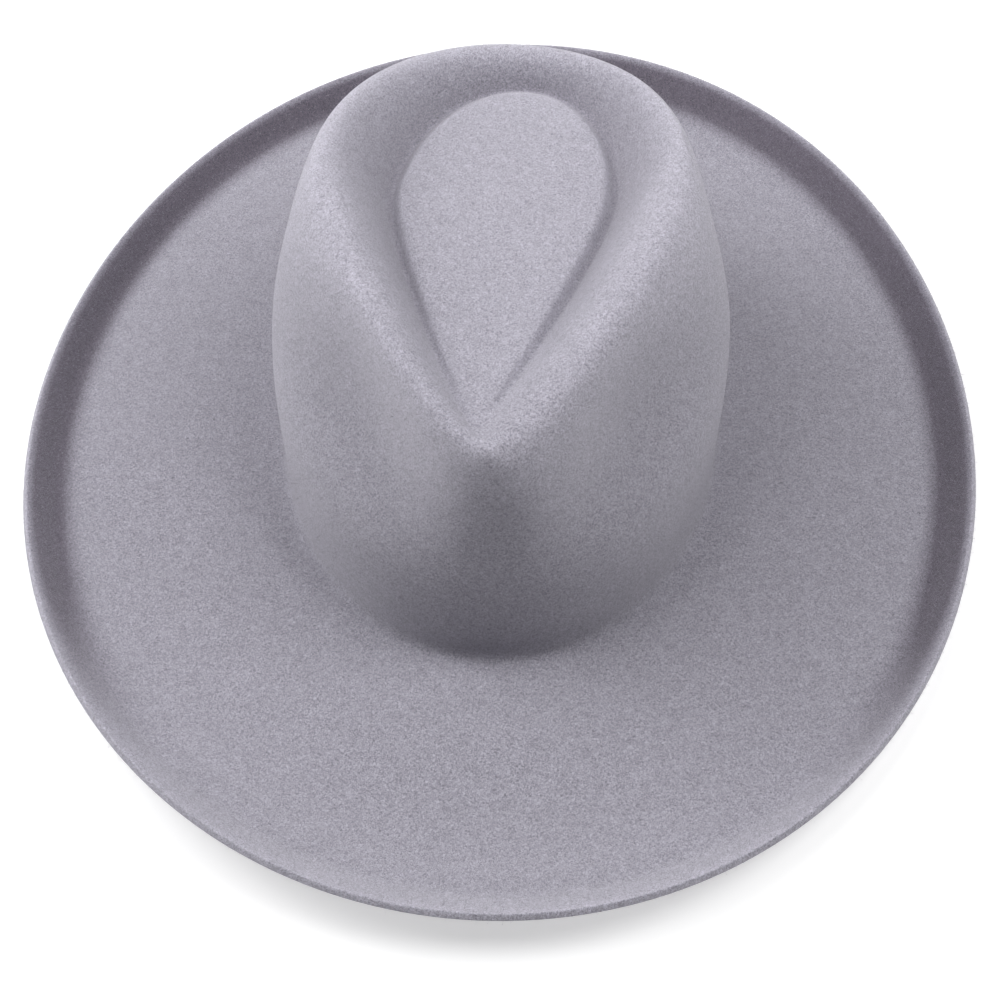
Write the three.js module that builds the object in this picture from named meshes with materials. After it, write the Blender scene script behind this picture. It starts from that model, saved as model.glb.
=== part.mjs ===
// A wide-brim fedora in one piece of wool felt: a teardrop crown pinched at the front,
// a flat oval brim and a brim edge turned up all round.
// Millimetres, +Z up, the hat's front towards -Y. The origin is at the middle of the
// head opening, on the surface that the brim rests on.

import * as THREE from 'three';

// Driving sizes. Crown sizes are outside sizes at its foot, where it meets the brim.

const CROWN_WIDTH = 167;
const CROWN_LENGTH = 219;
const CROWN_HEIGHT = 113.5;
const BRIM_REACH = 98;
const FELT_THICKNESS = 2.4;

// Sweep of the crown's foot into the brim: how far out it ends and how high up it bends.

const FOOT_REACH = 4.6;
const FOOT_RISE = 4.6;

// Turned-up edge: how far in from the rim it starts, and its height above the brim.

const EDGE_RUN = 12;
const EDGE_RISE = 8.4;

// The rim rises towards the hat's front and back, and rests on its two sides.
// The turn is the angle by which its two low points are swung round from the X axis.

const RIM_LIFT = 9.8;
const LIFT_TURN = THREE.MathUtils.degToRad(-21);

// How gently the straight sides of the pinched front start, a share of its depth.

const WEDGE_EASE = 0.2;

// The two dents of the front: how far their middles are turned from it, and how far each
// one spreads to both sides.

const DENT_TURN = THREE.MathUtils.degToRad(48);
const DENT_SPREAD = THREE.MathUtils.degToRad(42);

// Facets around the hat.

const AROUND = 64;

// Colour and finish of the felt.

const FELT_COLOUR = 0xaba7b3;
const FELT_ROUGHNESS = 0.95;

// Sections of the crown, from the middle of its raised plateau out and down to its foot.
// width is a share of half the crown's width, and front, back and middle, the place where
// the section is widest, are shares of half its length. pinch is how far its front half
// goes from an oval, 0, to a wedge of straight sides, 1. dent is the depth of the dents on
// both sides of the front, and lean how far the front leans to -X and the back to +X, both
// shares of half the width. side, nose and rear are its heights at the sides, the front
// and the back, shares of the crown's height. rows is the facets down to the next section.

const CROWN_COLUMNS = [
  'width', 'front', 'back', 'middle', 'pinch', 'dent', 'lean', 'side', 'nose', 'rear', 'rows',
];
const CROWN_SECTIONS = {
  plateauCentre: [0.000, -0.182, 0.182, 0.182, 0.00, 0.00, 0.00, 0.845, 0.845, 0.845, 2],
  plateauInner: [0.210, 0.273, 0.500, 0.255, 0.70, 0.00, 0.04, 0.845, 0.837, 0.845, 2],
  plateauOuter: [0.393, 0.627, 0.680, 0.235, 0.80, 0.00, 0.05, 0.845, 0.835, 0.843, 2],
  plateauEdge: [0.439, 0.688, 0.720, 0.225, 0.84, 0.00, 0.06, 0.842, 0.832, 0.838, 2],
  crease: [0.466, 0.717, 0.745, 0.225, 0.83, 0.00, 0.06, 0.785, 0.822, 0.805, 2],
  grooveWall: [0.535, 0.740, 0.765, 0.235, 0.79, 0.00, 0.05, 0.875, 0.830, 0.838, 2],
  ridgeInner: [0.636, 0.764, 0.794, 0.235, 0.69, 0.00, 0.03, 0.998, 0.838, 0.890, 2],
  ridge: [0.737, 0.802, 0.842, 0.180, 0.57, 0.00, 0.01, 1.030, 0.840, 0.925, 2],
  ridgeOuter: [0.808, 0.834, 0.902, 0.100, 0.40, 0.04, -0.01, 0.985, 0.800, 0.900, 2],
  wallUpper: [0.898, 0.864, 0.932, 0.000, 0.26, 0.15, -0.02, 0.800, 0.660, 0.770, 2],
  dent: [0.965, 0.892, 0.930, 0.030, 0.12, 0.17, -0.02, 0.630, 0.500, 0.610, 2],
  wallMiddle: [1.000, 0.930, 0.940, 0.000, 0.00, 0.00, 0.00, 0.485, 0.385, 0.485, 2],
  wallLower: [0.997, 0.977, 0.965, 0.000, 0.00, 0.00, 0.00, 0.270, 0.220, 0.270, 2],
};

// Sections of the foot: reach out from the crown's foot, a share of FOOT_REACH, and rise,
// the height above the brim in times FOOT_RISE.

const FOOT_COLUMNS = ['reach', 'rise', 'rows'];
const FOOT_SECTIONS = {
  footWall: [0.00, 2.20, 1],
  footTop: [0.00, 0.85, 1],
  footSweep: [0.30, 0.12, 1],
  footEnd: [1.00, 0.00, 1],
};

// Sections of the brim: reach out from the crown's foot, a share of BRIM_REACH, and lift,
// the share of RIM_LIFT that it takes.

const BRIM_COLUMNS = ['reach', 'lift', 'rows'];
const BRIM_SECTIONS = {
  brimInner: [0.24, 0.00, 1],
  brimMiddle: [0.42, 0.00, 1],
  brimOuter: [0.60, 0.00, 1],
  brimTurn: [0.75, 0.25, 1],
};

// Sections of the turned-up edge: inset from the rim, a share of EDGE_RUN, rise above
// the brim, a share of EDGE_RISE, and lift, as in the brim. The last one is set in from
// the rim by the felt's own thickness at that slope.

const EDGE_COLUMNS = ['inset', 'rise', 'lift', 'rows'];
const EDGE_SECTIONS = {
  edgeStart: [1.50, 0.00, 0.60, 1],
  edgeFoot: [1.02, 0.00, 0.80, 2],
  edgeBend: [0.80, 0.16, 0.88, 2],
  edgeWall: [0.48, 0.62, 0.95, 2],
  edgeTop: [0.17, 1.00, 1.00, 0],
};

const HALF_WIDTH = CROWN_WIDTH / 2;
const HALF_LENGTH = CROWN_LENGTH / 2;

// The rows of a table as objects with its columns' names.
function tableRows(columns, sections) {
  return Object.entries(sections).map(([name, values]) => {
    const row = { name };
    columns.forEach((column, index) => {
      row[column] = values[index];
    });
    return row;
  });
}

// The angles of a section's points, counted from +X towards the back.
function anglesAround() {
  return Array.from({ length: AROUND }, (_, index) => (index / AROUND) * 2 * Math.PI);
}

// Half the width of a wedge of straight sides, a share of its widest, at a share of the
// way to its tip. It starts with an even curve, so that an oval back runs on into it.
function wedgeWidth(way) {
  return 1 - ((1 + WEDGE_EASE) * way ** 2) / (way + WEDGE_EASE);
}

// The share of the front dents' depth at an angle, none at the nose and at the sides.
function dentAt(angle) {
  const fromFront = Math.abs(Math.atan2(Math.cos(angle), -Math.sin(angle)));
  const turn = (fromFront - DENT_TURN) / DENT_SPREAD;
  return Math.abs(turn) < 1 ? Math.cos((turn * Math.PI) / 2) ** 2 : 0;
}

// One closed section of the crown: half an oval at the back, a pinched half at the front.
function crownSection(row) {
  return anglesAround().map((angle) => {
    const across = Math.cos(angle);
    const along = Math.sin(angle);
    const atFront = along < 0;
    const pinch = atFront ? row.pinch : 0;
    const spread = (1 - pinch) * across + pinch * Math.sign(across) * wedgeWidth(Math.abs(along));
    const reach = atFront ? row.front + row.middle : row.back - row.middle;
    const endHeight = atFront ? row.nose : row.rear;
    const height = row.side + (endHeight - row.side) * along ** 2;
    const dent = row.dent * dentAt(angle);
    return new THREE.Vector3(
      (row.width * spread - dent * across + row.lean * along) * HALF_WIDTH,
      (row.middle + reach * along) * HALF_LENGTH - dent * along * HALF_WIDTH,
      height * CROWN_HEIGHT,
    );
  });
}

// The share of the rim's lift at an angle: 0 at its two low points and 1 at the high ones.
function liftAt(angle) {
  return Math.sin(angle - LIFT_TURN) ** 2;
}

// One closed section of the brim, at an even reach out from the crown's oval foot.
function brimSection(reach, rise, lift) {
  return anglesAround().map((angle) => {
    const foot = new THREE.Vector2(HALF_WIDTH * Math.cos(angle), HALF_LENGTH * Math.sin(angle));
    const outward = new THREE.Vector2(foot.x / HALF_WIDTH ** 2, foot.y / HALF_LENGTH ** 2).normalize();
    const point = foot.addScaledVector(outward, reach);
    return new THREE.Vector3(point.x, point.y, FELT_THICKNESS + rise + lift * RIM_LIFT * liftAt(angle));
  });
}

// Every section from the middle of the plateau out to the rim, with its facet rows.
function hatSections() {
  const crown = tableRows(CROWN_COLUMNS, CROWN_SECTIONS).map((row) => ({
    points: crownSection(row),
    rows: row.rows,
  }));
  const foot = tableRows(FOOT_COLUMNS, FOOT_SECTIONS).map((row) => ({
    points: brimSection(row.reach * FOOT_REACH, row.rise * FOOT_RISE, 0),
    rows: row.rows,
  }));
  const brim = tableRows(BRIM_COLUMNS, BRIM_SECTIONS).map((row) => ({
    points: brimSection(row.reach * BRIM_REACH, 0, row.lift),
    rows: row.rows,
  }));
  const edge = tableRows(EDGE_COLUMNS, EDGE_SECTIONS).map((row) => ({
    points: brimSection(BRIM_REACH - row.inset * EDGE_RUN, row.rise * EDGE_RISE, row.lift),
    rows: row.rows,
  }));
  return [...crown, ...foot, ...brim, ...edge];
}

// A point that carries a line of points on past its end.
function pointBeyond(end, before) {
  return end.clone().multiplyScalar(2).sub(before);
}

// The smooth cubic curve through four guiding points, at a share of its middle stretch.
function smoothPoint(guides, share) {
  const rest = 1 - share;
  const weights = [
    rest ** 3,
    3 * share ** 3 - 6 * share ** 2 + 4,
    -3 * share ** 3 + 3 * share ** 2 + 3 * share + 1,
    share ** 3,
  ];
  const point = new THREE.Vector3();
  guides.forEach((guide, index) => {
    point.addScaledVector(guide, weights[index] / 6);
  });
  return point;
}

// The top side of the felt as rings of points, smoothed from section to section.
function topRings(sections) {
  const last = sections.length - 1;
  const guideAt = (index, column) => {
    if (index < 0) {
      return pointBeyond(sections[0].points[column], sections[1].points[column]);
    }
    if (index > last) {
      return pointBeyond(sections[last].points[column], sections[last - 1].points[column]);
    }
    return sections[index].points[column];
  };
  const ringAt = (index, share) => sections[index].points.map((_, column) => {
    const guides = [index - 1, index, index + 1, index + 2].map((place) => guideAt(place, column));
    return smoothPoint(guides, share);
  });
  const rings = [];
  for (let index = 0; index < last; index += 1) {
    for (let step = 0; step < sections[index].rows; step += 1) {
      rings.push(ringAt(index, step / sections[index].rows));
    }
  }
  rings.push(sections[last].points);
  return rings;
}

// The underside: each point of the top side moved in by the felt's thickness.
function undersideRings(rings) {
  return rings.map((ring, index) => ring.map((point, column) => {
    if (index === 0) {
      return point.clone().setZ(point.z - FELT_THICKNESS);
    }
    const inner = rings[index - 1][column];
    const outer = rings[Math.min(index + 1, rings.length - 1)][column];
    const left = ring[(column + 1) % AROUND];
    const right = ring[(column + AROUND - 1) % AROUND];
    const down = outer.clone().sub(inner);
    const round = left.clone().sub(right);
    const normal = down.cross(round).normalize();
    return point.clone().addScaledVector(normal, -FELT_THICKNESS);
  }));
}

// One closed skin from the rings of both sides: they share the rim, where the cut edge
// joins them, and each side closes on one point in the middle of the plateau.
function closedSkin(top, underside) {
  const points = [];
  const faces = [];
  const addSide = (rings) => {
    const centre = points.push(rings[0][0]) - 1;
    const first = points.length;
    rings.slice(1).forEach((ring) => points.push(...ring));
    return { centre, at: (ring, column) => first + (ring - 1) * AROUND + (column % AROUND) };
  };
  const upper = addSide(top);
  const lower = addSide(underside);
  const last = top.length - 1;
  for (let column = 0; column < AROUND; column += 1) {
    faces.push(upper.centre, upper.at(1, column), upper.at(1, column + 1));
    faces.push(lower.centre, lower.at(1, column + 1), lower.at(1, column));
    for (let ring = 1; ring < last; ring += 1) {
      const next = column + 1;
      faces.push(upper.at(ring, column), upper.at(ring + 1, column), upper.at(ring + 1, next));
      faces.push(upper.at(ring, column), upper.at(ring + 1, next), upper.at(ring, next));
      faces.push(lower.at(ring, column), lower.at(ring + 1, next), lower.at(ring + 1, column));
      faces.push(lower.at(ring, column), lower.at(ring, next), lower.at(ring + 1, next));
    }
    faces.push(upper.at(last, column), lower.at(last, column), lower.at(last, column + 1));
    faces.push(upper.at(last, column), lower.at(last, column + 1), upper.at(last, column + 1));
  }
  const geometry = new THREE.BufferGeometry().setFromPoints(points);
  geometry.setIndex(faces);
  geometry.computeVertexNormals();
  return geometry;
}

// The felt body: crown, brim and turned-up edge are one piece of felt.
function feltBody() {
  const top = topRings(hatSections());
  const geometry = closedSkin(top, undersideRings(top));
  const felt = new THREE.MeshStandardMaterial({
    color: FELT_COLOUR,
    roughness: FELT_ROUGHNESS,
    metalness: 0,
  });
  const mesh = new THREE.Mesh(geometry, felt);
  mesh.name = 'felt_body';
  return mesh;
}

const group = new THREE.Group();
group.add(feltBody());

export default group;
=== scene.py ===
"""A wide-brim fedora in one piece of pale lavender-grey wool felt.

Metres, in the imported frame: +Z up, the hat's front towards -Y, the origin at the middle
of the head opening on the surface that the brim rests on.
"""

import logging
import math
from dataclasses import dataclass
from enum import Enum
from typing import NamedTuple

import bpy
import numpy as np
from mathutils import Matrix, Vector


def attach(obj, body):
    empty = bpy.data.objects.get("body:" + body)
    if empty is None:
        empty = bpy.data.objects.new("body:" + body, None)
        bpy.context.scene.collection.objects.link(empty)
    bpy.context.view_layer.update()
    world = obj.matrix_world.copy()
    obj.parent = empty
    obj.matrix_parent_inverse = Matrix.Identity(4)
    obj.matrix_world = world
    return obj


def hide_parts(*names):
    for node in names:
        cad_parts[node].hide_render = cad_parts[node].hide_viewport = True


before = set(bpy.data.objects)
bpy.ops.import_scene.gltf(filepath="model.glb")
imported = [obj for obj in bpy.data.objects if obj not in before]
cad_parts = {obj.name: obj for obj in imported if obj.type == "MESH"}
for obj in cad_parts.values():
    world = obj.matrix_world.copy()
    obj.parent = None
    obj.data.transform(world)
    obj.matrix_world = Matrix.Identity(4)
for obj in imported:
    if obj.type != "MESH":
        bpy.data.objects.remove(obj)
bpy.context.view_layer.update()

BODY = "root"
NODE = "felt_body"
MM = 0.001

Colour = tuple[float, float, float]

log = logging.getLogger("fedora")


class Region(Enum):
    """The regions of the felt, as the numbers its faces carry."""

    CROWN = 0
    BRIM = 1
    EDGE = 2
    UNDERSIDE = 3
    HOLLOW = 4


class CrownSection(NamedTuple):
    """One closed section of the crown, from the plateau's middle out and down.

    width is a share of half the crown's width. front, back and middle are shares of half
    its length. pinch draws the front in to a wedge, and dent is the depth of the dents on
    both sides of it. lean leans the front to -X and the back to +X. Both are shares of half
    the width. side, nose and rear are heights, shares of the crown's height. rings is the
    rings down to the next section.
    """

    name: str
    width: float
    front: float
    back: float
    middle: float
    pinch: float
    dent: float
    lean: float
    side: float
    nose: float
    rear: float
    rings: int


class BrimSection(NamedTuple):
    """One closed section of the foot, the brim or the turned-up edge.

    share is how far out it lies, a share of the reach that its table names. rise is its
    height above the brim, a share of the rise that its table names, and lift the share of
    the rim's lift that it takes.
    """

    name: str
    share: float
    rise: float
    lift: float
    rings: int


CROWN_SECTIONS = (
    CrownSection("plateau centre", 0.000, -0.182, 0.182, 0.182, 0.00, 0.00, 0.00, 0.845, 0.845, 0.845, 5),
    CrownSection("plateau inner", 0.210, 0.273, 0.500, 0.255, 0.70, 0.00, 0.04, 0.845, 0.837, 0.845, 6),
    CrownSection("plateau outer", 0.393, 0.627, 0.680, 0.235, 0.80, 0.00, 0.05, 0.845, 0.835, 0.843, 6),
    CrownSection("plateau edge", 0.439, 0.688, 0.720, 0.225, 0.84, 0.00, 0.06, 0.842, 0.832, 0.838, 6),
    CrownSection("crease", 0.466, 0.717, 0.745, 0.225, 0.83, 0.00, 0.06, 0.785, 0.829, 0.805, 6),
    CrownSection("groove wall", 0.535, 0.740, 0.765, 0.235, 0.79, 0.00, 0.05, 0.875, 0.830, 0.838, 6),
    CrownSection("ridge inner", 0.636, 0.764, 0.794, 0.235, 0.69, 0.00, 0.03, 0.998, 0.838, 0.890, 6),
    CrownSection("ridge", 0.737, 0.802, 0.842, 0.180, 0.57, 0.00, 0.01, 1.030, 0.840, 0.925, 6),
    CrownSection("ridge outer", 0.808, 0.834, 0.902, 0.100, 0.40, 0.04, -0.01, 0.985, 0.800, 0.900, 6),
    CrownSection("wall upper", 0.898, 0.864, 0.932, 0.000, 0.26, 0.15, -0.02, 0.800, 0.660, 0.770, 6),
    CrownSection("dent", 0.965, 0.892, 0.930, 0.030, 0.12, 0.17, -0.02, 0.630, 0.500, 0.610, 6),
    CrownSection("wall middle", 1.000, 0.930, 0.940, 0.000, 0.00, 0.00, 0.00, 0.485, 0.385, 0.485, 6),
    CrownSection("wall lower", 0.997, 0.977, 0.965, 0.000, 0.00, 0.00, 0.00, 0.270, 0.220, 0.270, 6),
)

FOOT_SECTIONS = (
    BrimSection("foot wall", 0.00, 2.20, 0.00, 3),
    BrimSection("foot top", 0.00, 0.85, 0.00, 5),
    BrimSection("foot sweep", 0.30, 0.12, 0.00, 5),
    BrimSection("foot end", 1.00, 0.00, 0.00, 4),
)

BRIM_SECTIONS = (
    BrimSection("brim inner", 0.24, 0.00, 0.00, 4),
    BrimSection("brim middle", 0.42, 0.00, 0.00, 4),
    BrimSection("brim outer", 0.60, 0.00, 0.00, 4),
    BrimSection("brim turn", 0.75, 0.00, 0.25, 4),
)

EDGE_SECTIONS = (
    BrimSection("edge start", 1.50, 0.00, 0.60, 4),
    BrimSection("edge foot", 1.02, 0.00, 0.80, 6),
    BrimSection("edge bend", 0.80, 0.16, 0.88, 6),
    BrimSection("edge wall", 0.48, 0.62, 0.95, 6),
    BrimSection("edge top", 0.17, 1.00, 1.00, 0),
)

# How much painted shade darkens the sections that have it: the crease, the groove wall and the
# turned-up edge. A share outside 0 to 1 is cut to that range after smoothing, so the tone
# changes quickly there.
PAINTED_SHADE_SECTIONS = {
    "crease": 0.45,
    "groove wall": 0.20,
    "edge start": -0.10,
    "edge foot": 1.10,
    "edge bend": 1.40,
    "edge wall": 1.80,
    "edge top": -0.30,
}

# How much painted light makes the sections that have it paler, on the crown's top and the edge's top.
PAINTED_LIGHT_SECTIONS = {
    "plateau centre": 0.25,
    "plateau inner": 0.25,
    "plateau outer": 0.30,
    "plateau edge": 0.50,
    "crease": 0.30,
    "groove wall": 0.00,
    "ridge inner": 0.22,
    "ridge": 0.85,
    "ridge outer": 0.80,
    "wall upper": 0.15,
    "edge top": 1.00,
}


class Noise(NamedTuple):
    """One layer of noise.

    scale is its features to the metre, detail the finer layers added to it, and
    distortion how far its features are pulled into fibres.
    """

    scale: float
    detail: float
    distortion: float


def plain_material(name: str, constants: dict[str, float | tuple[float, ...]]) -> bpy.types.Material:
    """Makes a material from constants alone.

    Args:
        name: The material's name.
        constants: The values of its shader's own sockets, by their names.

    Returns:
        The material.
    """
    material = bpy.data.materials.new(name)
    material.use_nodes = True
    shader = material.node_tree.nodes["Principled BSDF"]
    for socket, value in constants.items():
        shader.inputs[socket].default_value = value
    return material


class MaterialNodes:
    """The nodes of one material, of the few kinds that the finishes use."""

    def __init__(self, material: bpy.types.Material) -> None:
        """Takes hold of a plain material and adds the coordinates that its noises read.

        Args:
            material: The material that the nodes are added to.
        """
        self.nodes = material.node_tree.nodes
        self.links = material.node_tree.links
        self.shader = self.nodes["Principled BSDF"]
        self.place = self.nodes.new("ShaderNodeTexCoord").outputs["Object"]

    def noise(self, layer: Noise) -> bpy.types.NodeSocket:
        """Adds one layer of noise.

        Args:
            layer: Its scale, detail and distortion.

        Returns:
            The noise's factor.
        """
        noise = self.nodes.new("ShaderNodeTexNoise")
        noise.inputs["Scale"].default_value = layer.scale
        noise.inputs["Detail"].default_value = layer.detail
        noise.inputs["Distortion"].default_value = layer.distortion
        self.links.new(self.place, noise.inputs["Vector"])
        return noise.outputs["Fac"]

    def attribute(self, name: str) -> bpy.types.NodeSocket:
        """Adds a value that the mesh carries.

        Args:
            name: The attribute's name.

        Returns:
            The value.
        """
        carried = self.nodes.new("ShaderNodeAttribute")
        carried.attribute_name = name
        return carried.outputs["Fac"]

    def stretch(
        self,
        factor: bpy.types.NodeSocket,
        low: float,
        high: float,
        start: float = 0.0,
        end: float = 1.0,
    ) -> bpy.types.NodeSocket:
        """Stretches a factor to another range.

        Args:
            factor: The factor.
            low: What it becomes at its start.
            high: What it becomes at its end.
            start: The factor's own start.
            end: The factor's own end.

        Returns:
            The value in the other range.
        """
        stretched = self.nodes.new("ShaderNodeMapRange")
        stretched.inputs["From Min"].default_value = start
        stretched.inputs["From Max"].default_value = end
        stretched.inputs["To Min"].default_value = low
        stretched.inputs["To Max"].default_value = high
        self.links.new(factor, stretched.inputs["Value"])
        return stretched.outputs["Result"]

    def ramp(
        self, factor: bpy.types.NodeSocket, low: Colour, high: Colour, ends: tuple[float, float]
    ) -> bpy.types.NodeSocket:
        """Adds a colour ramp between two colours.

        Args:
            factor: What the ramp reads.
            low: The colour at its low end.
            high: The colour at its high end.
            ends: Where its low and its high end are.

        Returns:
            The ramp's colour.
        """
        ramp = self.nodes.new("ShaderNodeValToRGB")
        for stop, colour, place in zip(ramp.color_ramp.elements, (low, high), ends):
            stop.position = place
            stop.color = (*colour, 1.0)
        self.links.new(factor, ramp.inputs["Fac"])
        return ramp.outputs["Color"]

    def mix(
        self,
        share: float | bpy.types.NodeSocket,
        first: Colour | bpy.types.NodeSocket,
        second: bpy.types.NodeSocket,
    ) -> bpy.types.NodeSocket:
        """Mixes two colours.

        Args:
            share: The second colour's share.
            first: The first colour.
            second: The second colour.

        Returns:
            The mixed colour.
        """
        mixed = self.nodes.new("ShaderNodeMix")
        mixed.data_type = "RGBA"
        self._give(mixed.inputs["Factor"], share)
        self._give(mixed.inputs["A"], (*first, 1.0) if isinstance(first, tuple) else first)
        self.links.new(second, mixed.inputs["B"])
        return mixed.outputs["Result"]

    def times(
        self,
        colour: Colour | bpy.types.NodeSocket,
        factor: Colour | bpy.types.NodeSocket,
    ) -> bpy.types.NodeSocket:
        """Makes a colour darker or paler.

        Args:
            colour: The colour.
            factor: What each of its channels is multiplied by, or one value for all.

        Returns:
            The new colour.
        """
        product = self.nodes.new("ShaderNodeVectorMath")
        by_channel = isinstance(factor, tuple)
        product.operation = "MULTIPLY" if by_channel else "SCALE"
        self._give(product.inputs[0], colour)
        self._give(product.inputs[1] if by_channel else product.inputs["Scale"], factor)
        return product.outputs["Vector"]

    def _give(
        self, socket: bpy.types.NodeSocket, value: float | tuple[float, ...] | bpy.types.NodeSocket
    ) -> None:
        """Gives a socket its value, by a link or as a constant.

        Args:
            socket: The socket.
            value: The other node's socket, or the constant.
        """
        if isinstance(value, bpy.types.NodeSocket):
            self.links.new(value, socket)
        else:
            socket.default_value = value


@dataclass(frozen=True)
class FeltFinish:
    """Dyed wool felt: matt, mottled, with a fine fibrous grain and a soft sheen."""

    name: str = "lavender_grey_wool_felt"
    colour: Colour = (0.313, 0.302, 0.351)
    shade: Colour = (0.170, 0.163, 0.193)
    light: Colour = (0.494, 0.477, 0.548)
    # Painted shade: what the felt's colour is multiplied by where it is darkened to stand in for shade.
    painted_darkening: Colour = (0.38, 0.35, 0.38)
    # Painted light: how much paler the felt is made where it stands in for light on its top.
    painted_brightening: float = 1.24
    roughness: float = 0.95
    specular: float = 0.15
    sheen: float = 0.60
    sheen_roughness: float = 0.45
    sheen_tint: Colour = (0.90, 0.88, 0.95)
    clouds: Noise = Noise(260.0, 3.0, 0.6)
    cloud_ends: tuple[float, float] = (0.3, 0.7)
    cloud_depth: float = 0.06
    grain: Noise = Noise(1750.0, 3.0, 1.4)
    grain_ends: tuple[float, float] = (0.35, 0.65)
    grain_share: float = 0.85
    fibres: Noise = Noise(2600.0, 2.0, 2.2)
    relief: float = 0.00030
    relief_strength: float = 0.95

    def material(self) -> bpy.types.Material:
        """Makes the felt's material.

        Returns:
            A node material that reads Object coordinates and the felt's painted shade and light.
        """
        constants = {
            "Roughness": self.roughness,
            "Specular IOR Level": self.specular,
            "Sheen Weight": self.sheen,
            "Sheen Roughness": self.sheen_roughness,
            "Sheen Tint": (*self.sheen_tint, 1.0),
        }
        material = plain_material(self.name, constants)
        felt = MaterialNodes(material)
        grain = felt.noise(self.grain)
        colour = self._painted_light_and_shade(felt, self._dyed(felt, grain))
        felt.links.new(colour, felt.shader.inputs["Base Color"])
        felt.links.new(self._relief(felt, grain), felt.shader.inputs["Normal"])
        return material

    def _dyed(self, felt: MaterialNodes, grain: bpy.types.NodeSocket) -> bpy.types.NodeSocket:
        """The dyed wool: pale and dark grain over an even colour, in soft clouds.

        Args:
            felt: The felt's nodes.
            grain: The grain's factor.

        Returns:
            The colour.
        """
        clouds = felt.noise(self.clouds)
        patch = felt.stretch(clouds, 1 - self.cloud_depth, 1 + self.cloud_depth, *self.cloud_ends)
        tone = felt.ramp(grain, self.shade, self.light, self.grain_ends)
        return felt.times(felt.mix(self.grain_share, self.colour, tone), patch)

    def _painted_light_and_shade(self, felt: MaterialNodes, dyed: bpy.types.NodeSocket) -> bpy.types.NodeSocket:
        """The colour, with painted light on top and painted shade in the crease, groove and edge.

        Args:
            felt: The felt's nodes.
            dyed: The dyed wool's colour.

        Returns:
            The colour.
        """
        lightened = felt.times(dyed, felt.stretch(felt.attribute("painted_light"), 1.0, self.painted_brightening))
        return felt.mix(felt.attribute("painted_shade"), lightened, felt.times(lightened, self.painted_darkening))

    def _relief(self, felt: MaterialNodes, grain: bpy.types.NodeSocket) -> bpy.types.NodeSocket:
        """The relief of the grain and of its fibres.

        Args:
            felt: The felt's nodes.
            grain: The grain's factor.

        Returns:
            The normal.
        """
        height = felt.nodes.new("ShaderNodeMath")
        height.operation = "ADD"
        felt.links.new(grain, height.inputs[0])
        felt.links.new(felt.noise(self.fibres), height.inputs[1])
        bump = felt.nodes.new("ShaderNodeBump")
        bump.inputs["Strength"].default_value = self.relief_strength
        bump.inputs["Distance"].default_value = self.relief
        felt.links.new(height.outputs["Value"], bump.inputs["Height"])
        return bump.outputs["Normal"]


@dataclass(frozen=True)
class FibreFinish:
    """Loose wool fibres of the nap: paler than the felt, because light shines through."""

    name: str = "pale_wool_fibre"
    colour: Colour = (0.37, 0.355, 0.40)
    roughness: float = 0.8
    specular: float = 0.2
    sheen: float = 0.3
    patches: Noise = Noise(400.0, 2.0, 0.0)
    darkest: float = 0.8
    palest: float = 1.2

    def material(self) -> bpy.types.Material:
        """Makes the fibres' material.

        Returns:
            A node material whose tone varies a little along the hat.
        """
        constants = {
            "Roughness": self.roughness,
            "Specular IOR Level": self.specular,
            "Sheen Weight": self.sheen,
        }
        material = plain_material(self.name, constants)
        wool = MaterialNodes(material)
        tone = wool.stretch(wool.noise(self.patches), self.darkest, self.palest)
        wool.links.new(wool.times(self.colour, tone), wool.shader.inputs["Base Color"])
        return material


class Section(NamedTuple):
    """One section of the top side: its points, the rings after it and its region."""

    name: str
    points: np.ndarray
    rings: int
    region: Region


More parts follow.
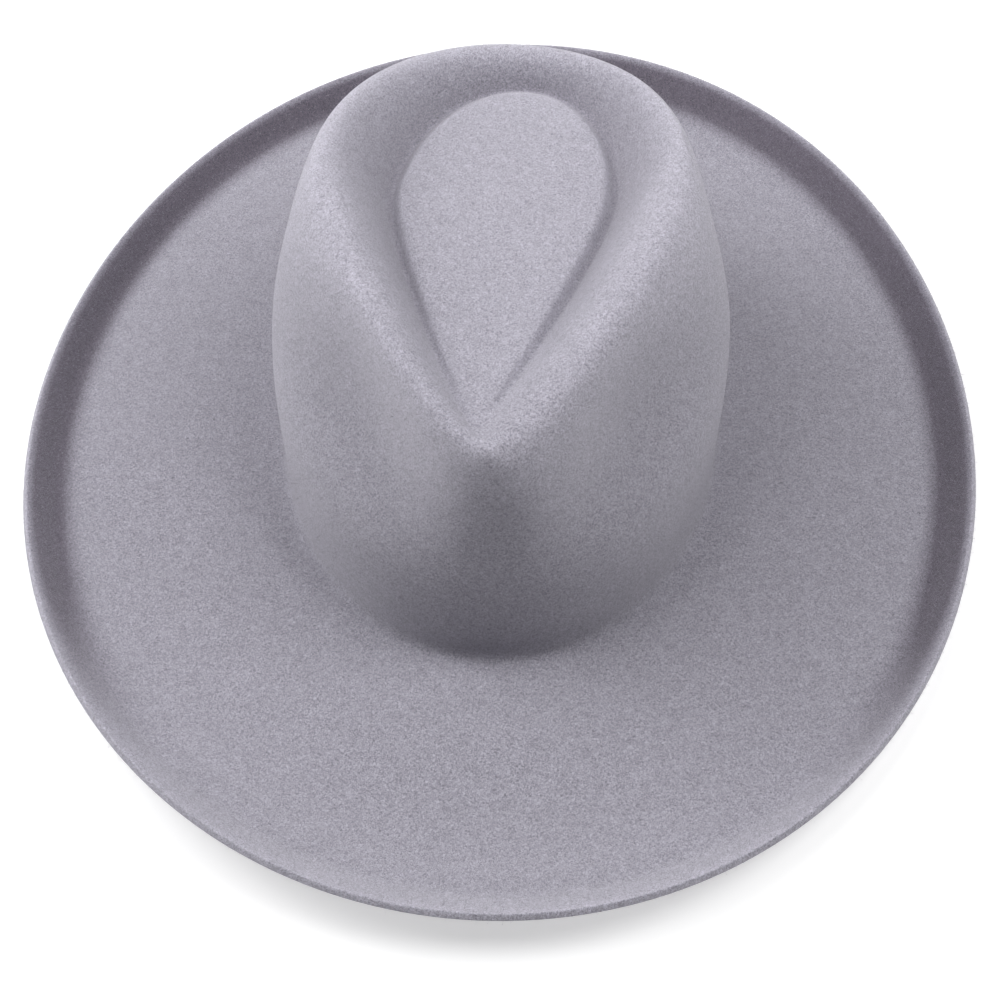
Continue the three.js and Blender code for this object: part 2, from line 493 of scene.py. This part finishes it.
@dataclass
class FeltBody:
    """The crown, the brim and its turned-up edge: one sheet of felt."""

    crown_width: float = 167 * MM
    crown_length: float = 219 * MM
    crown_height: float = 113.5 * MM
    brim_reach: float = 98 * MM
    thickness: float = 2.4 * MM
    foot_reach: float = 4.6 * MM
    foot_rise: float = 4.6 * MM
    edge_run: float = 12 * MM
    edge_rise: float = 8.4 * MM
    rim_lift: float = 9.8 * MM
    lift_turn: float = math.radians(-21)
    wedge_ease: float = 0.2
    dent_turn: float = math.radians(48)
    dent_spread: float = math.radians(42)
    # The painted shade starts at the first angle from the front and is full at the second.
    painted_shade_start: float = math.radians(32)
    painted_shade_full: float = math.radians(72)
    cut_round: float = 0.45 * MM
    cut_steps: int = 3
    around: int = 288
    finish: FeltFinish = FeltFinish()

    def build(self) -> bpy.types.Object:
        """Builds the felt as one closed mesh and dresses it.

        Returns:
            The hat's object, riding on the root.
        """
        top, regions, painted_shade, painted_light = self._top_side()
        underside = self._underside(top)
        top, cut, underside = self._rounded_cut(top, underside)
        verts, faces, marks = self._skin(top, cut, underside, regions)
        # The painted shade of each point, none at the hat's front.
        painted_darkening = self._over_top(len(verts), painted_shade, self._painted_shade_share())
        # The painted light of each ring, the last ring's also on the cut edge, then of each point.
        painted_light = np.concatenate([painted_light, np.repeat(painted_light[-1:], len(cut))])
        painted_brightening = self._over_top(len(verts), painted_light, np.ones(self.around))
        mesh = bpy.data.meshes.new("felt_body_looks")
        mesh.from_pydata(verts.tolist(), [], faces)
        mesh.attributes.new("region", "INT", "FACE").data.foreach_set("value", marks)
        # The painted shade and the painted light, as values that the felt's material reads.
        mesh.attributes.new("painted_shade", "FLOAT", "POINT").data.foreach_set("value", painted_darkening)
        mesh.attributes.new("painted_light", "FLOAT", "POINT").data.foreach_set("value", painted_brightening)
        mesh.shade_smooth()
        mesh.materials.append(self.finish.material())
        piece = bpy.data.objects.new("felt_body_looks", mesh)
        bpy.context.collection.objects.link(piece)
        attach(piece, BODY)
        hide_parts(NODE)
        return piece

    def _over_top(self, count: int, rings: np.ndarray, share: np.ndarray) -> np.ndarray:
        """Spreads one value of each ring of the top side over the skin's points.

        Args:
            count: How many points the skin has.
            rings: The value of each ring.
            share: The share of it that each angle takes.

        Returns:
            The value of each point, none where the rings end.
        """
        values = np.zeros(count)
        values[0] = rings[0]
        values[1 : 1 + (len(rings) - 1) * self.around] = np.outer(rings[1:], share).ravel()
        return np.clip(values, 0.0, 1.0)

    def _angles(self) -> np.ndarray:
        """The angles of a section's points, from +X towards the back."""
        return np.arange(self.around) / self.around * 2 * math.pi

    def _wedge_width(self, way: np.ndarray) -> np.ndarray:
        """Half the width of a straight-sided wedge with an even start.

        Args:
            way: The share of the way to its tip.

        Returns:
            Its half width there, a share of its widest.
        """
        return 1 - (1 + self.wedge_ease) * way**2 / (way + self.wedge_ease)

    def _from_front(self) -> np.ndarray:
        """How far each point is turned from the hat's front, to either side."""
        return np.abs((self._angles() + math.pi / 2 + math.pi) % (2 * math.pi) - math.pi)

    def _dent_share(self) -> np.ndarray:
        """How much of the front dents' depth each point takes, none at the nose."""
        turn = (self._from_front() - self.dent_turn) / self.dent_spread
        return np.where(np.abs(turn) < 1, np.cos(turn * math.pi / 2) ** 2, 0.0)

    def _painted_shade_share(self) -> np.ndarray:
        """How much painted shade each point takes, from none at the front to full at the sides."""
        way = (self._from_front() - self.painted_shade_start) / (self.painted_shade_full - self.painted_shade_start)
        way = np.clip(way, 0.0, 1.0)
        return way * way * (3 - 2 * way)

    def _crown_section(self, row: CrownSection) -> np.ndarray:
        """One closed section of the crown: an oval back and a pinched front.

        Args:
            row: The section's row of the table.

        Returns:
            Its points, one for each angle.
        """
        across, along = np.cos(self._angles()), np.sin(self._angles())
        at_front = along < 0
        pinch = np.where(at_front, row.pinch, 0.0)
        wedge = np.sign(across) * self._wedge_width(np.abs(along))
        spread = (1 - pinch) * across + pinch * wedge
        reach = np.where(at_front, row.front + row.middle, row.back - row.middle)
        end_height = np.where(at_front, row.nose, row.rear)
        height = row.side + (end_height - row.side) * along**2
        dent = row.dent * self._dent_share()
        x = (row.width * spread - dent * across + row.lean * along) * self.crown_width / 2
        y = (row.middle + reach * along) * self.crown_length / 2 - dent * along * self.crown_width / 2
        return np.stack([x, y, height * self.crown_height], axis=1)

    def _brim_section(self, reach: float, rise: float, lift: float) -> np.ndarray:
        """One closed section at an even reach out from the crown's oval foot.

        Args:
            reach: How far out it lies.
            rise: Its height above the brim's top side.
            lift: The share of the rim's lift that it takes.

        Returns:
            Its points, one for each angle.
        """
        angles = self._angles()
        half_width, half_length = self.crown_width / 2, self.crown_length / 2
        foot = np.stack([half_width * np.cos(angles), half_length * np.sin(angles)], axis=1)
        outward = foot / np.array([half_width**2, half_length**2])
        outward /= np.linalg.norm(outward, axis=1, keepdims=True)
        plan = foot + outward * reach
        lifted = self.rim_lift * np.sin(angles - self.lift_turn) ** 2
        height = self.thickness + rise + lift * lifted
        return np.column_stack([plan, height])

    def _sections(self) -> list[Section]:
        """Every section from the plateau's middle out to the rim.

        Returns:
            The sections, in that order.
        """
        sections = [
            Section(row.name, self._crown_section(row), row.rings, Region.CROWN)
            for row in CROWN_SECTIONS
        ]
        tables = (
            (FOOT_SECTIONS, Region.BRIM, 0.0, self.foot_reach, self.foot_rise),
            (BRIM_SECTIONS, Region.BRIM, 0.0, self.brim_reach, 0.0),
            (EDGE_SECTIONS, Region.EDGE, self.brim_reach, -self.edge_run, self.edge_rise),
        )
        for rows, region, start, run, climb in tables:
            for row in rows:
                points = self._brim_section(start + row.share * run, row.rise * climb, row.lift)
                sections.append(Section(row.name, points, row.rings, region))
        return sections

    def _top_side(self) -> tuple[np.ndarray, list[Region], np.ndarray, np.ndarray]:
        """The top side as rings, smoothed from section to section by a cubic curve.

        Returns:
            The rings, the region that lies outside each ring, and how much painted shade and
            painted light each ring takes.
        """
        sections = self._sections()
        points = [section.points for section in sections]
        guides = [2 * points[0] - points[1], *points, 2 * points[-1] - points[-2]]
        tones = np.array(
            [
                (PAINTED_SHADE_SECTIONS.get(section.name, 0.0), PAINTED_LIGHT_SECTIONS.get(section.name, 0.0))
                for section in sections
            ]
        )
        tones = np.concatenate([tones[:1], tones, tones[-1:]])
        rings, regions, shares = [], [], []
        for index, section in enumerate(sections):
            for step in range(section.rings):
                weights = self._curve_weights(step / section.rings)
                near = guides[index : index + 4]
                rings.append(sum(w * g for w, g in zip(weights, near)) / 6)
                shares.append(np.dot(weights, tones[index : index + 4]) / 6)
                regions.append(section.region)
        rings.append(points[-1])
        shares.append(tones[-1])
        return np.array(rings), regions, *np.array(shares).T

    @staticmethod
    def _curve_weights(share: float) -> tuple[float, float, float, float]:
        """How much each of four guides draws the cubic curve, in sixths.

        Args:
            share: The share of the way from the second guide to the third.

        Returns:
            The weights of the four guides.
        """
        rest = 1 - share
        return (
            rest**3,
            3 * share**3 - 6 * share**2 + 4,
            -3 * share**3 + 3 * share**2 + 3 * share + 1,
            share**3,
        )

    def _underside(self, top: np.ndarray) -> np.ndarray:
        """The underside: the top side moved in by the felt's thickness.

        Args:
            top: The top side's rings.

        Returns:
            The underside's rings.
        """
        inner = np.concatenate([top[:1], top[:-1]])
        outer = np.concatenate([top[1:], top[-1:]])
        down = outer - inner
        turn = np.roll(top, -1, axis=1) - np.roll(top, 1, axis=1)
        normal = np.cross(down, turn)
        normal[0] = (0.0, 0.0, 1.0)
        normal /= np.linalg.norm(normal, axis=2, keepdims=True)
        return top - normal * self.thickness

    def _rounded_cut(
        self, top: np.ndarray, underside: np.ndarray
    ) -> tuple[np.ndarray, np.ndarray, np.ndarray]:
        """Rounds the two corners of the cut edge along the rim.

        Args:
            top: The top side's rings.
            underside: The underside's rings.

        Returns:
            The top side, the rings of the cut edge from top to underside, and the underside.
        """
        outward = top[-1] - top[-2]
        outward /= np.linalg.norm(outward, axis=1, keepdims=True)
        across = underside[-1] - top[-1]
        across /= np.linalg.norm(across, axis=1, keepdims=True)
        turns = [math.pi / 2 * step / self.cut_steps for step in range(self.cut_steps + 1)]
        upper = [
            top[-1]
            - outward * self.cut_round * (1 - math.sin(turn))
            + across * self.cut_round * (1 - math.cos(turn))
            for turn in turns
        ]
        lower = [
            underside[-1]
            - outward * self.cut_round * (1 - math.sin(turn))
            - across * self.cut_round * (1 - math.cos(turn))
            for turn in reversed(turns)
        ]
        top = np.concatenate([top[:-1], upper[:1]])
        underside = np.concatenate([underside[:-1], lower[-1:]])
        return top, np.array(upper[1:] + lower[:-1]), underside

    def _skin(
        self, top: np.ndarray, cut: np.ndarray, underside: np.ndarray, regions: list[Region]
    ) -> tuple[np.ndarray, list[tuple[int, ...]], list[int]]:
        """Joins both sides and the cut edge into one closed skin.

        Args:
            top: The top side's rings.
            cut: The cut edge's rings.
            underside: The underside's rings.
            regions: The region outside each ring of the top side.

        Returns:
            The points, the faces and the region number of each face.
        """
        rings = np.concatenate([top[1:], cut, underside[:0:-1]])
        verts = np.concatenate([top[0, :1], rings.reshape(-1, 3), underside[0, :1]])
        first, last = 0, len(verts) - 1
        faces, marks = [], []
        under = [Region.HOLLOW if r is Region.CROWN else Region.UNDERSIDE for r in regions]
        ring_marks = [*regions[1:], *[Region.EDGE] * (len(cut) + 1), *under[:0:-1]]
        for column in range(self.around):
            faces.append((first, 1 + column, 1 + (column + 1) % self.around))
            marks.append(regions[0].value)
        for ring in range(len(rings) - 1):
            base = 1 + ring * self.around
            for column in range(self.around):
                following = (column + 1) % self.around
                faces.append(
                    (
                        base + column,
                        base + self.around + column,
                        base + self.around + following,
                        base + following,
                    )
                )
            marks.extend([ring_marks[ring].value] * self.around)
        base = 1 + (len(rings) - 1) * self.around
        for column in range(self.around):
            faces.append((last, base + (column + 1) % self.around, base + column))
            marks.append(under[0].value)
        log.info("felt: %d rings on the top side, %d faces", len(top) - 1, len(faces))
        return verts, faces, marks


class NapPatch(NamedTuple):
    """One patch of the nap: its region, its fibres to the square metre and its seed."""

    name: str
    region: Region
    density: float
    seed: int


NAP_PATCHES = (
    NapPatch("crown_nap", Region.CROWN, 130_000, 11),
    NapPatch("brim_nap", Region.BRIM, 130_000, 23),
    NapPatch("edge_nap", Region.EDGE, 330_000, 37),
    NapPatch("underside_nap", Region.UNDERSIDE, 90_000, 41),
)


@dataclass
class Nap:
    """The loose wool fibres that stand off the felt.

    The places along a fibre and its tip's width are shares of its length and its radius.
    """

    length: float = 1.0 * MM
    radius: float = 0.028 * MM
    lean_low: float = math.radians(30)
    lean_high: float = math.radians(86)
    shortest: float = 0.5
    longest: float = 1.6
    bends: tuple[float, ...] = (0.25, 0.6, 1.0)
    root_depth: float = 0.08
    middle_out: float = 0.15
    middle_height: float = 0.6
    tip_aside: float = 0.25
    tip_drop: float = 0.4
    tip_width: float = 0.3
    sides: int = 3
    steps: int = 2
    finish: FibreFinish = FibreFinish()

    def build(self, felt: bpy.types.Object) -> list[bpy.types.Object]:
        """Scatters the fibres over the felt, one piece for each patch.

        Args:
            felt: The felt that they stand on.

        Returns:
            The patches' objects, riding on the root.
        """
        tree = self._tree(self.finish.material())
        return [self._patch(felt, tree, patch) for patch in NAP_PATCHES]

    def _patch(
        self, felt: bpy.types.Object, tree: bpy.types.NodeTree, patch: NapPatch
    ) -> bpy.types.Object:
        """Grows one patch of fibres and keeps it as a plain mesh.

        Args:
            felt: The felt that it stands on.
            tree: The node tree that scatters the fibres.
            patch: The patch's region, density and seed.

        Returns:
            The patch's object.
        """
        piece = bpy.data.objects.new(patch.name, felt.data)
        bpy.context.collection.objects.link(piece)
        grower = piece.modifiers.new("fibres", "NODES")
        grower.node_group = tree
        values = {
            "Region": patch.region.value,
            "Density": patch.density,
            "Seed": patch.seed,
            "Length": self.length,
            "Radius": self.radius,
            "Shortest": self.shortest,
            "Longest": self.longest,
        }
        for item in tree.interface.items_tree:
            if item.in_out == "INPUT" and item.name in values:
                grower[item.identifier] = values[item.name]
        evaluated = piece.evaluated_get(bpy.context.evaluated_depsgraph_get())
        grown = bpy.data.meshes.new_from_object(evaluated)
        piece.modifiers.remove(grower)
        piece.data = grown
        grown.name = patch.name
        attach(piece, BODY)
        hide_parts(NODE)
        log.info("%s: %d faces", patch.name, len(grown.polygons))
        return piece

    def _tree(self, material: bpy.types.Material) -> bpy.types.NodeTree:
        """Makes the node tree that scatters leaning, curved fibres over one region.

        Args:
            material: The fibres' material.

        Returns:
            The tree, with its sizes as named inputs.
        """
        tree = bpy.data.node_groups.new("fibre_scatter", "GeometryNodeTree")
        self._sockets(tree)
        nodes, links = tree.nodes, tree.links
        given = nodes.new("NodeGroupInput").outputs
        region = nodes.new("GeometryNodeInputNamedAttribute")
        region.data_type = "INT"
        region.inputs["Name"].default_value = "region"
        here = nodes.new("FunctionNodeCompare")
        here.data_type = "INT"
        here.operation = "EQUAL"
        links.new(region.outputs["Attribute"], here.inputs["A"])
        links.new(given["Region"], here.inputs["B"])
        points = nodes.new("GeometryNodeDistributePointsOnFaces")
        links.new(given["Geometry"], points.inputs["Mesh"])
        links.new(here.outputs["Result"], points.inputs["Selection"])
        links.new(given["Density"], points.inputs["Density"])
        links.new(given["Seed"], points.inputs["Seed"])

        shapes = nodes.new("GeometryNodeGeometryToInstance")
        for bend in reversed(self.bends):
            links.new(self._fibre(tree, given, bend), shapes.inputs["Geometry"])
        which = self._random(tree, "INT", given["Seed"], 0, len(self.bends) - 1)
        size = self._random(tree, "FLOAT", given["Seed"], 0.0, 1.0)
        links.new(given["Shortest"], size.node.inputs["Min"])
        links.new(given["Longest"], size.node.inputs["Max"])
        turn = self._random(
            tree,
            "FLOAT_VECTOR",
            given["Seed"],
            (self.lean_low, 0.0, 0.0),
            (self.lean_high, 0.0, 2 * math.pi),
        )
        as_turn = nodes.new("FunctionNodeEulerToRotation")
        links.new(turn, as_turn.inputs["Euler"])
        aim = nodes.new("FunctionNodeRotateRotation")
        aim.rotation_space = "LOCAL"
        links.new(points.outputs["Rotation"], aim.inputs["Rotation"])
        links.new(as_turn.outputs["Rotation"], aim.inputs["Rotate By"])

        placed = nodes.new("GeometryNodeInstanceOnPoints")
        placed.inputs["Pick Instance"].default_value = True
        links.new(points.outputs["Points"], placed.inputs["Points"])
        links.new(shapes.outputs["Instances"], placed.inputs["Instance"])
        links.new(which, placed.inputs["Instance Index"])
        links.new(aim.outputs["Rotation"], placed.inputs["Rotation"])
        links.new(size, placed.inputs["Scale"])
        real = nodes.new("GeometryNodeRealizeInstances")
        links.new(placed.outputs["Instances"], real.inputs["Geometry"])
        dressed = nodes.new("GeometryNodeSetMaterial")
        dressed.inputs["Material"].default_value = material
        links.new(real.outputs["Geometry"], dressed.inputs["Geometry"])
        links.new(dressed.outputs["Geometry"], nodes.new("NodeGroupOutput").inputs["Geometry"])
        return tree

    @staticmethod
    def _sockets(tree: bpy.types.NodeTree) -> None:
        """Names the tree's inputs and its output."""
        tree.interface.new_socket("Geometry", in_out="OUTPUT", socket_type="NodeSocketGeometry")
        tree.interface.new_socket("Geometry", in_out="INPUT", socket_type="NodeSocketGeometry")
        for name in ("Region", "Seed"):
            tree.interface.new_socket(name, in_out="INPUT", socket_type="NodeSocketInt")
        for name in ("Density", "Length", "Radius", "Shortest", "Longest"):
            tree.interface.new_socket(name, in_out="INPUT", socket_type="NodeSocketFloat")

    @staticmethod
    def _random(
        tree: bpy.types.NodeTree,
        kind: str,
        seed: bpy.types.NodeSocket,
        low: float | tuple[float, float, float],
        high: float | tuple[float, float, float],
    ) -> bpy.types.NodeSocket:
        """Adds a random value for each fibre.

        Args:
            tree: The tree that it is added to.
            kind: INT, FLOAT or FLOAT_VECTOR.
            seed: The socket that its seed comes from.
            low: Its lowest value.
            high: Its highest value.

        Returns:
            The value's socket.
        """
        chance = tree.nodes.new("FunctionNodeRandomValue")
        chance.data_type = kind
        chance.inputs["Min"].default_value = low
        chance.inputs["Max"].default_value = high
        tree.links.new(seed, chance.inputs["Seed"])
        return chance.outputs["Value"]

    def _fibre(
        self, tree: bpy.types.NodeTree, given: bpy.types.NodeOutputs, bend: float
    ) -> bpy.types.NodeSocket:
        """Adds one fibre: a closed three-sided rod along a bent line, thinner to its tip.

        Args:
            tree: The tree that it is added to.
            given: The tree's inputs.
            bend: How far it curves over, a share of its length.

        Returns:
            The fibre's geometry.
        """
        nodes, links = tree.nodes, tree.links
        line = nodes.new("GeometryNodeCurveQuadraticBezier")
        line.inputs["Resolution"].default_value = self.steps
        places = {
            "Start": (0.0, 0.0, -self.root_depth),
            "Middle": (0.0, self.middle_out, self.middle_height),
            "End": (self.tip_aside, bend, 1.0 - self.tip_drop * bend),
        }
        for name, place in places.items():
            sized = nodes.new("ShaderNodeVectorMath")
            sized.operation = "SCALE"
            sized.inputs["Vector"].default_value = place
            links.new(given["Length"], sized.inputs["Scale"])
            links.new(sized.outputs["Vector"], line.inputs[name])
        along = nodes.new("GeometryNodeSplineParameter")
        taper = nodes.new("ShaderNodeMapRange")
        taper.inputs["To Min"].default_value = 1.0
        taper.inputs["To Max"].default_value = self.tip_width
        links.new(along.outputs["Factor"], taper.inputs["Value"])
        thin = nodes.new("GeometryNodeSetCurveRadius")
        links.new(line.outputs["Curve"], thin.inputs["Curve"])
        links.new(taper.outputs["Result"], thin.inputs["Radius"])
        ring = nodes.new("GeometryNodeCurvePrimitiveCircle")
        ring.inputs["Resolution"].default_value = self.sides
        links.new(given["Radius"], ring.inputs["Radius"])
        rod = nodes.new("GeometryNodeCurveToMesh")
        rod.inputs["Fill Caps"].default_value = True
        links.new(thin.outputs["Curve"], rod.inputs["Curve"])
        links.new(ring.outputs["Curve"], rod.inputs["Profile Curve"])
        return rod.outputs["Mesh"]


class StudioLight(NamedTuple):
    """One soft round light: where it hangs round the hat, how wide and how strong.

    turn is the angle round the hat from its front towards +X, height the angle above the
    floor, both in degrees. distance and width are metres and power is watts.
    """

    name: str
    turn: float
    height: float
    distance: float
    width: float
    power: float


STUDIO_LIGHTS = (
    StudioLight("over the crown", 180, 75, 0.45, 0.25, 0.36),
    StudioLight("front high", 0, 62, 0.80, 0.45, 0.10),
    StudioLight("right high", 90, 62, 0.80, 0.45, 3.40),
    StudioLight("left high", 270, 62, 0.80, 0.45, 2.35),
    StudioLight("right", 90, 35, 0.90, 0.45, 1.28),
    StudioLight("left", 270, 35, 0.90, 0.45, 2.25),
    StudioLight("left back", 245, 35, 0.90, 0.45, 3.00),
    StudioLight("left low", 245, 12, 1.20, 0.45, 0.95),
    StudioLight("front low", 0, 12, 1.20, 0.45, 0.04),
)


@dataclass
class Studio:
    """The pale floor, the soft light and the camera at the photo's angle."""

    floor_reach: float = 11.0
    floor_sides: int = 96
    cove: float = 1.0
    cove_steps: int = 8
    wall_height: float = 2.0
    floor_colour: Colour = (0.65, 0.65, 0.65)
    floor_roughness: float = 0.9
    floor_specular: float = 0.1
    floor_glow: float = 0.48
    white: Colour = (1.0, 1.0, 1.0)
    sky_strength: float = 0.02
    elevation: float = math.radians(51.55)
    turn: float = math.radians(2.28)
    distance: float = 558 * MM
    aim: tuple[float, float, float] = (0.0, 3.7 * MM, 0.0)
    pan: float = math.radians(0.096)
    tilt: float = math.radians(3.73)
    roll: float = math.radians(0.43)
    focal_pixels: float = 1402.1
    frame_pixels: float = 1000.0
    sensor: float = 36.0

    def build(self) -> None:
        """Builds the floor, the lights, the world and the camera."""
        self._floor()
        self._world()
        for light in STUDIO_LIGHTS:
            self._light(light)
        self._camera()
        bpy.context.scene.view_settings.view_transform = "Standard"

    def _floor(self) -> None:
        """Lays the plain pale floor."""
        constants = {
            "Base Color": (*self.floor_colour, 1.0),
            "Roughness": self.floor_roughness,
            "Specular IOR Level": self.floor_specular,
            "Emission Color": (*self.white, 1.0),
            "Emission Strength": self.floor_glow,
        }
        mesh = self._floor_mesh()
        mesh.materials.append(plain_material("pale_floor", constants))
        floor = bpy.data.objects.new("floor", mesh)
        bpy.context.collection.objects.link(floor)

    def _floor_mesh(self) -> bpy.types.Mesh:
        """A round floor whose edge turns up into a low wall, far behind the hat.

        Returns:
            The mesh, which faces up and inwards.
        """
        turns = np.arange(self.cove_steps + 1) / self.cove_steps * math.pi / 2
        wall_reach = self.floor_reach + self.cove
        reaches = [*(self.floor_reach + self.cove * np.sin(turns)), wall_reach]
        heights = [*(self.cove * (1 - np.cos(turns))), self.wall_height]
        angles = np.arange(self.floor_sides) / self.floor_sides * 2 * math.pi
        rings = [
            np.column_stack([reach * np.cos(angles), reach * np.sin(angles), np.full(len(angles), z)])
            for reach, z in zip(reaches, heights)
        ]
        faces = [tuple(range(self.floor_sides))]
        for ring in range(len(rings) - 1):
            base = ring * self.floor_sides
            for side in range(self.floor_sides):
                following = (side + 1) % self.floor_sides
                corners = (side + self.floor_sides, following + self.floor_sides, following, side)
                faces.append(tuple(base + corner for corner in corners))
        mesh = bpy.data.meshes.new("floor")
        mesh.from_pydata(np.concatenate(rings).tolist(), [], faces)
        return mesh

    def _world(self) -> None:
        """Fills the shade with even pale light."""
        world = bpy.data.worlds.new("studio")
        world.use_nodes = True
        sky = world.node_tree.nodes["Background"]
        sky.inputs["Color"].default_value = (*self.white, 1.0)
        sky.inputs["Strength"].default_value = self.sky_strength
        bpy.context.scene.world = world

    def _light(self, row: StudioLight) -> None:
        """Hangs one soft round light that faces the hat.

        Args:
            row: The light's place, width and power.
        """
        turn, height = math.radians(row.turn), math.radians(row.height)
        level = math.cos(height)
        way = Vector((math.sin(turn) * level, -math.cos(turn) * level, math.sin(height)))
        data = bpy.data.lights.new(row.name, "AREA")
        data.shape = "DISK"
        data.size = row.width
        data.energy = row.power
        light = bpy.data.objects.new(row.name, data)
        light.location = way * row.distance
        light.rotation_euler = (-way).to_track_quat("-Z", "Y").to_euler()
        bpy.context.collection.objects.link(light)

    def _camera(self) -> None:
        """Sets the camera from the photo's elevation, turn, distance and framing."""
        right = Vector((1.0, 0.0, 0.0))
        up = Vector((0.0, math.sin(self.elevation), math.cos(self.elevation)))
        ahead = Vector((0.0, math.cos(self.elevation), -math.sin(self.elevation)))
        place = -ahead * self.distance
        up, ahead = self._turned(up, ahead, self.tilt)
        right, ahead = self._turned(right, ahead, self.pan)
        right, up = self._turned(right, up, -self.roll)
        spin = Matrix.Rotation(self.turn, 3, "Z")
        axes = Matrix((spin @ right, spin @ up, spin @ -ahead)).transposed()
        data = bpy.data.cameras.new("camera")
        data.sensor_width = self.sensor
        data.lens = self.focal_pixels / self.frame_pixels * self.sensor
        camera = bpy.data.objects.new("camera", data)
        camera.matrix_world = Matrix.Translation(spin @ place + Vector(self.aim)) @ axes.to_4x4()
        bpy.context.collection.objects.link(camera)
        bpy.context.scene.camera = camera

    @staticmethod
    def _turned(first: Vector, second: Vector, angle: float) -> tuple[Vector, Vector]:
        """Turns two square directions in their own plane, the first towards the second.

        Args:
            first: The first direction.
            second: The second direction.
            angle: The angle that they turn by.

        Returns:
            Both directions, turned.
        """
        level, rise = math.cos(angle), math.sin(angle)
        return first * level + second * rise, second * level - first * rise


def main() -> None:
    """Builds the hat and its studio, in order."""
    logging.basicConfig(level=logging.INFO, format="%(name)s: %(message)s")
    felt = FeltBody().build()
    log.info("built %s with %d faces", felt.name, len(felt.data.polygons))
    nap = Nap().build(felt)
    log.info("built the nap in %d pieces", len(nap))
    Studio().build()
    log.info("built the studio")


if __name__ == "__main__":
    main()
